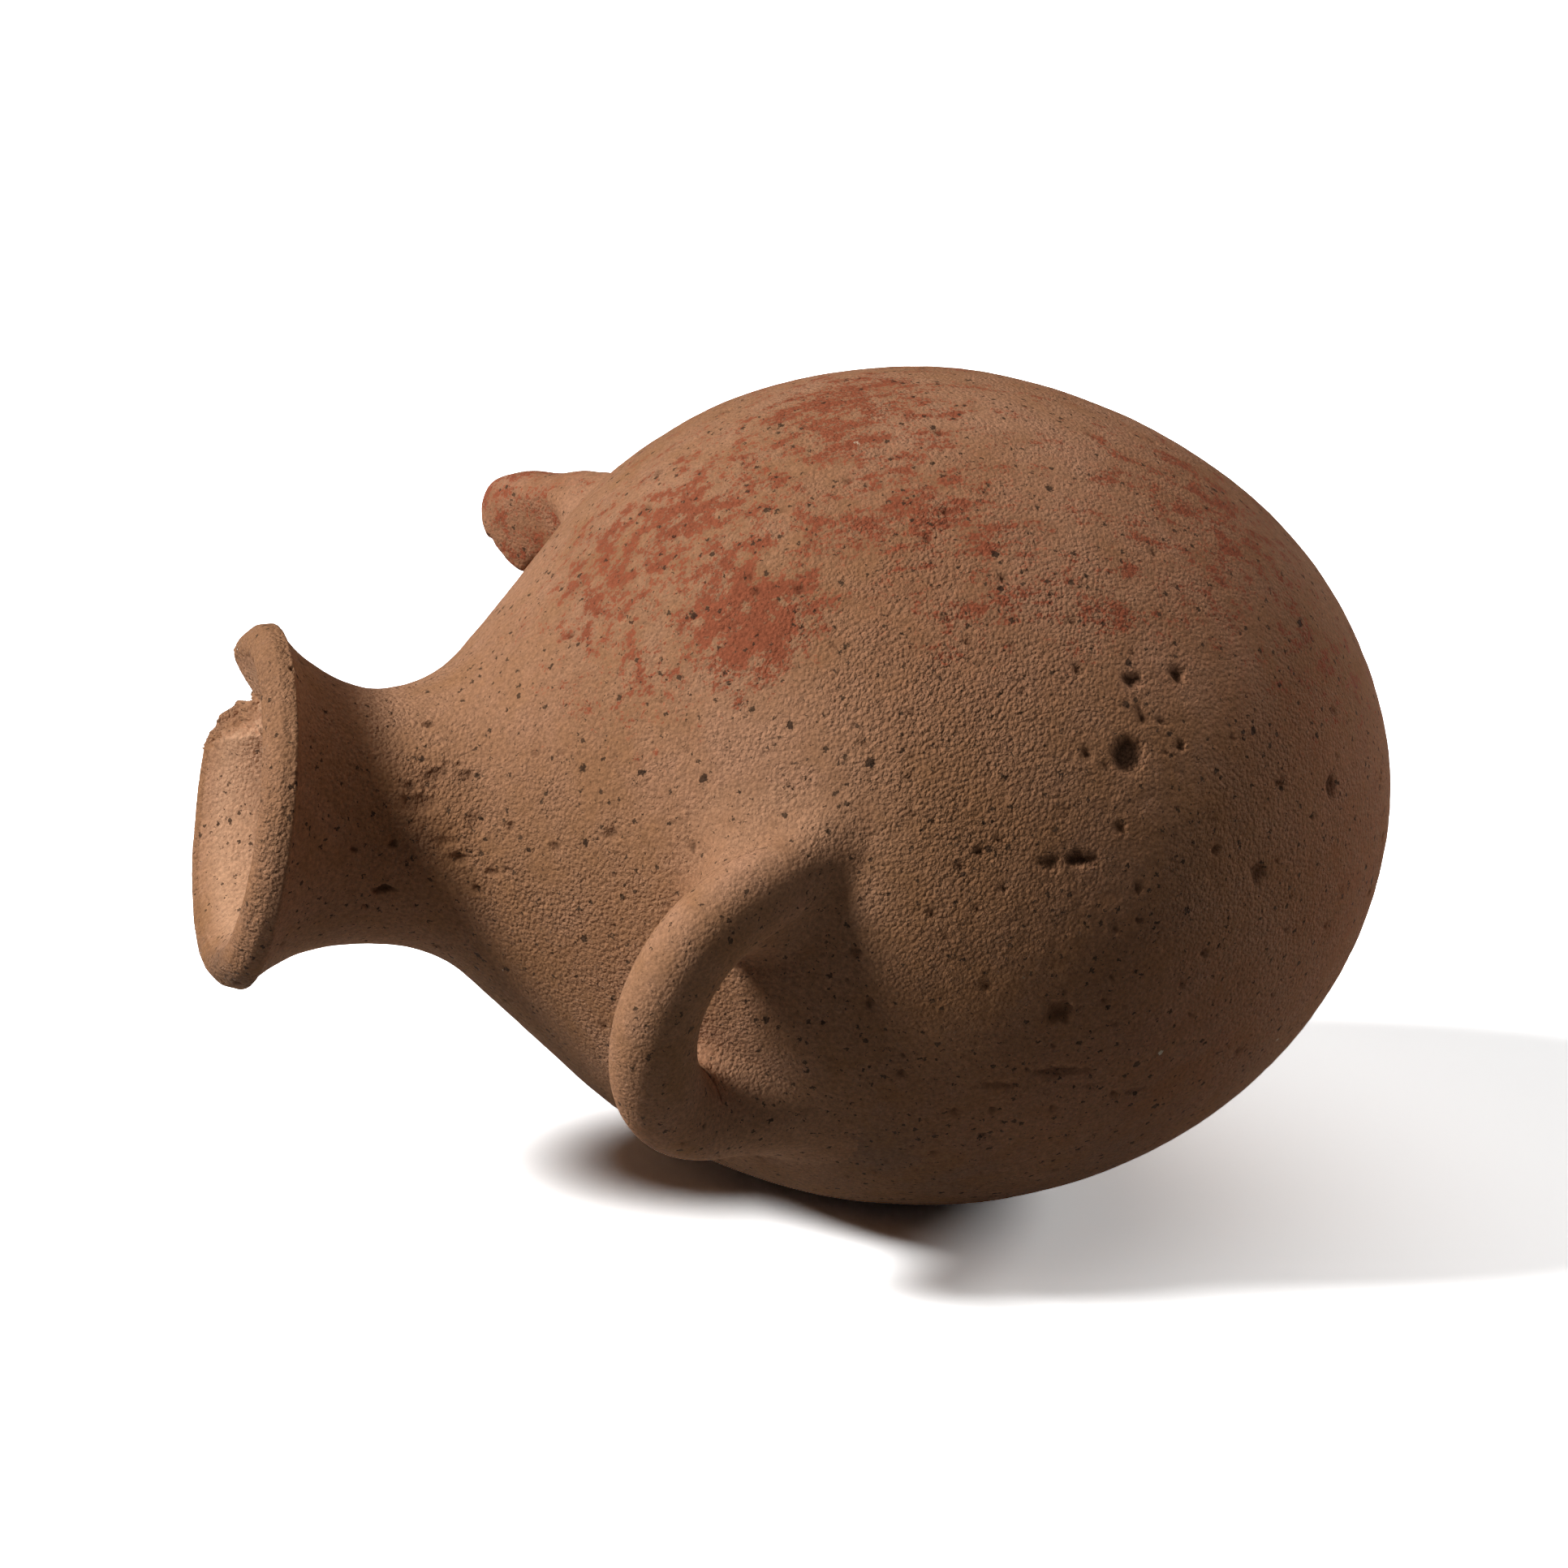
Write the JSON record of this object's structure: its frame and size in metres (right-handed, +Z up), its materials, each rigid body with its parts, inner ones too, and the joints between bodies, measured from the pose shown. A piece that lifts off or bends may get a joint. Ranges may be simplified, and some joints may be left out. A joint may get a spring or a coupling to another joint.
{
  "type": "flask",
  "caption": "Round-bodied hand-built earthenware flask lying on its side, with a short neck, a flared chipped mouth, a loop handle on the shoulder and the stubs of a broken handle.",
  "frame": {"origin": "centre of the worn flat under the belly that the flask rests on", "axes": "+Z up; X along the body's axis, base at +X and mouth at -X; -Y is the front, the side with the whole handle"},
  "size_m": [0.206, 0.1526, 0.1444],
  "materials": {
    "earthenware": "matt fired clay with grit and worn red slip",
    "luting_clay": "matt fired clay, finger-smoothed"
  },
  "bodies": {
    "root": {"base_bowl": "earthenware", "lower_wall": "earthenware", "belly_band": "earthenware", "shoulder_band": "earthenware", "shoulder_cone": "earthenware", "neck_collar": "earthenware", "flared_mouth": "earthenware", "front_handle": "earthenware", "rear_upper_stub": "earthenware", "rear_lower_stub": "earthenware", "front_lower_luting": "luting_clay", "front_upper_luting": "luting_clay", "rear_upper_luting": "luting_clay", "rear_lower_luting": "luting_clay"}
  },
  "joints": []
}
